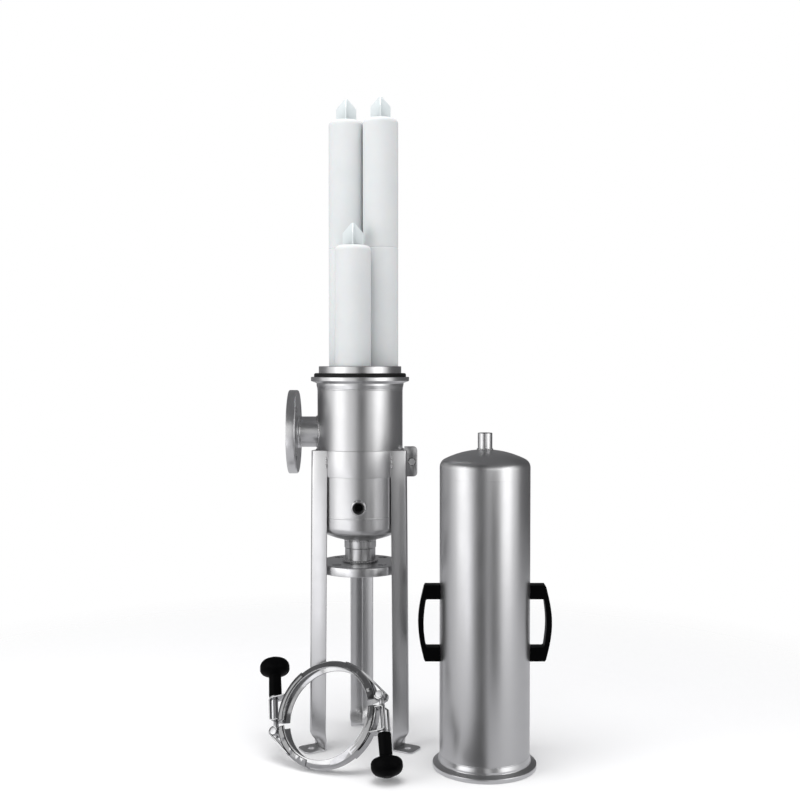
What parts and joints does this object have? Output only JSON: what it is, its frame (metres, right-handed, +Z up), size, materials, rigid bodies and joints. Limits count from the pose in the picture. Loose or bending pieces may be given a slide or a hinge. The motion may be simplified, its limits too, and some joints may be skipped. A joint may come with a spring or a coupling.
{
  "type": "filter housing",
  "caption": "Stainless steel cartridge filter housing taken apart: flanged bowl on a folded-leg stand, bell-shaped lid with handles beside it, and a split V-band clamp leaning in front.",
  "frame": {"origin": "on the floor under the bowl's axis, at the centre of the three feet's bolt circle", "axes": "+Z up, -Y towards the reader and the lid's front, -X out of the inlet flange"},
  "size_m": [0.5576, 0.3829, 1.2784],
  "materials": {
    "satin_steel": "bead-blasted satin",
    "turned_steel": "fine turned, bright",
    "stand_steel": "satin folded sheet",
    "clamp_steel": "polished",
    "fastener_steel": "plain machined",
    "seal_rubber": "smooth moulded",
    "black_plastic": "fine grained moulded",
    "cartridge_white": "smooth white",
    "fin_plastic": "pale translucent"
  },
  "bodies": {
    "housing": {"bowl_ferrule": "turned_steel", "bowl_seal": "seal_rubber", "bowl_shell": "satin_steel", "bowl_head": "satin_steel", "outlet_neck": "satin_steel", "outlet_flange": "turned_steel", "inlet_neck": "satin_steel", "inlet_flange": "turned_steel", "drain_socket": "satin_steel", "cartridge_plate": "turned_steel", "stand_band": "stand_steel", "band_lug_front": "stand_steel", "band_lug_rear": "stand_steel", "band_bolt": "fastener_steel", "band_nut": "fastener_steel", "band_washers": "fastener_steel", "lid_ferrule": "turned_steel", "lid_shell": "satin_steel", "lid_dome": "satin_steel", "vent_nozzle": "satin_steel", "handle_left": "black_plastic", "handle_right": "black_plastic", "handle_studs": "fastener_steel", "leg_back": "stand_steel", "leg_left": "stand_steel", "leg_right": "stand_steel", "socket_right": "turned_steel", "socket_rear": "turned_steel", "socket_front": "turned_steel", "clamp_upper_band": "clamp_steel", "clamp_lower_band": "clamp_steel", "clamp_upper_saddle": "clamp_steel", "clamp_lower_saddle": "clamp_steel", "clamp_upper_trunnion_loop": "clamp_steel", "clamp_lower_trunnion_loop": "clamp_steel"},
    "cartridge_right": {"cartridge_right_body": "cartridge_white", "cartridge_right_adapter": "cartridge_white", "cartridge_right_fin": "fin_plastic", "cartridge_right_rings": "seal_rubber"},
    "cartridge_rear": {"cartridge_rear_body": "cartridge_white", "cartridge_rear_adapter": "cartridge_white", "cartridge_rear_fin": "fin_plastic", "cartridge_rear_rings": "seal_rubber"},
    "cartridge_front": {"cartridge_front_body": "cartridge_white", "cartridge_front_adapter": "cartridge_white", "cartridge_front_fin": "fin_plastic", "cartridge_front_rings": "seal_rubber"},
    "right_bolt": {"right_tee_bolt": "fastener_steel"},
    "left_bolt": {"left_tee_bolt": "fastener_steel"},
    "right_washer": {"right_thrust_washer": "fastener_steel"},
    "left_washer": {"left_thrust_washer": "fastener_steel"},
    "right_knob": {"right_knob": "black_plastic", "right_knob_bush": "fastener_steel"},
    "left_knob": {"left_knob": "black_plastic", "left_knob_bush": "fastener_steel"}
  },
  "joints": [
    {"name": "left_bolt_swing", "type": "hinge", "parent": "housing", "child": "left_bolt", "pos_m": [-0.15638, -0.10518, 0.04978], "axis": [-0.3891, -0.7637, 0.515], "range_deg": [0, 75]},
    {"name": "left_knob_travel", "type": "slide", "parent": "left_bolt", "child": "left_washer", "axis": [-0.085, 0.5865, 0.8055], "range_m": [0, 0.00601]},
    {"name": "left_knob_turn", "type": "hinge", "parent": "left_washer", "child": "left_knob", "pos_m": [-0.16237, -0.06383, 0.10657], "axis": [-0.085, 0.5865, 0.8055], "range_deg": [0, 1440]},
    {"name": "right_bolt_swing", "type": "hinge", "parent": "housing", "child": "right_bolt", "pos_m": [0.04438, -0.15072, 0.13393], "axis": [-0.3891, -0.7637, 0.515], "range_deg": [0, 55]},
    {"name": "right_knob_travel", "type": "slide", "parent": "right_bolt", "child": "right_washer", "axis": [0.085, -0.5865, -0.8055], "range_m": [0, 0.00601]},
    {"name": "right_knob_turn", "type": "hinge", "parent": "right_washer", "child": "right_knob", "pos_m": [0.05038, -0.19207, 0.07715], "axis": [0.085, -0.5865, -0.8055], "range_deg": [0, 1440]},
    {"name": "cartridge_right_lift", "type": "slide", "parent": "housing", "child": "cartridge_right", "axis": [0, 0, 1], "range_m": [0, 0.06]},
    {"name": "cartridge_rear_lift", "type": "slide", "parent": "housing", "child": "cartridge_rear", "axis": [0, 0, 1], "range_m": [0, 0.06]},
    {"name": "cartridge_front_lift", "type": "slide", "parent": "housing", "child": "cartridge_front", "axis": [0, 0, 1], "range_m": [0, 0.06]}
  ],
  "couplings": [
    {"joint": "left_knob_travel", "follows": "left_knob_turn", "m_per_rad": 0.00023873},
    {"joint": "right_knob_travel", "follows": "right_knob_turn", "m_per_rad": 0.00023873}
  ]
}
